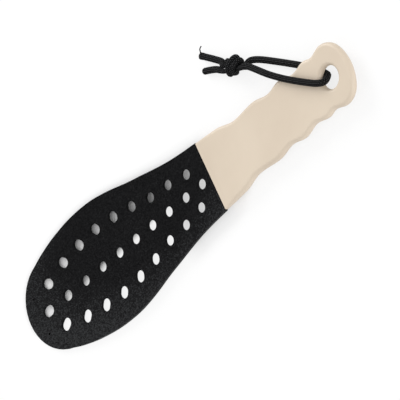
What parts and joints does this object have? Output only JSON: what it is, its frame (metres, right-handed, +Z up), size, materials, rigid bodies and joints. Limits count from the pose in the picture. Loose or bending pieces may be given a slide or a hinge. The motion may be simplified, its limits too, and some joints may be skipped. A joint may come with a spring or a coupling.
{
  "type": "foot file",
  "caption": "Flat foot file: a thin perforated blade with abrasive on both faces, a wavy moulded grip and a knotted cord loop through its hanging hole.",
  "frame": {"origin": "on the surface that the file lies on, under the middle of the file's length and width, the cord left out", "axes": "+X along the file towards the hanging hole, +Y across it towards the side on which the cord lies, +Z up; the tip lies on the surface and the grip is propped by the cord under it, which tilts the file by 1.3 degrees"},
  "size_m": [0.24, 0.0839, 0.0115],
  "materials": {
    "black_steel": "black coated spring steel, matt",
    "adhesive": "clear amber acrylic film",
    "coarse_grit": "black silicon carbide grit bonded to a polyester film, coarse",
    "fine_grit": "black silicon carbide grit bonded to a polyester film, fine",
    "cream_plastic": "satin moulded ABS, cream",
    "braided_cord": "black braided nylon cord"
  },
  "bodies": {
    "file": {"blade_plate": "black_steel", "coarse_adhesive_film": "adhesive", "fine_adhesive_film": "adhesive", "coarse_abrasive_sheet": "coarse_grit", "fine_abrasive_sheet": "fine_grit", "grip": "cream_plastic"},
    "lanyard": {"lanyard_over_strand": "braided_cord", "lanyard_bight": "braided_cord", "lanyard_under_strand": "braided_cord", "lanyard_knot": "braided_cord", "lanyard_long_tail": "braided_cord", "lanyard_short_tail": "braided_cord"}
  },
  "joints": [
    {"name": "lanyard_swing", "type": "hinge", "parent": "file", "child": "lanyard", "pos_m": [0.10607, 0, 0.00597], "axis": [-0.0231, 0, 0.9997], "range_deg": [-270, 0]}
  ]
}
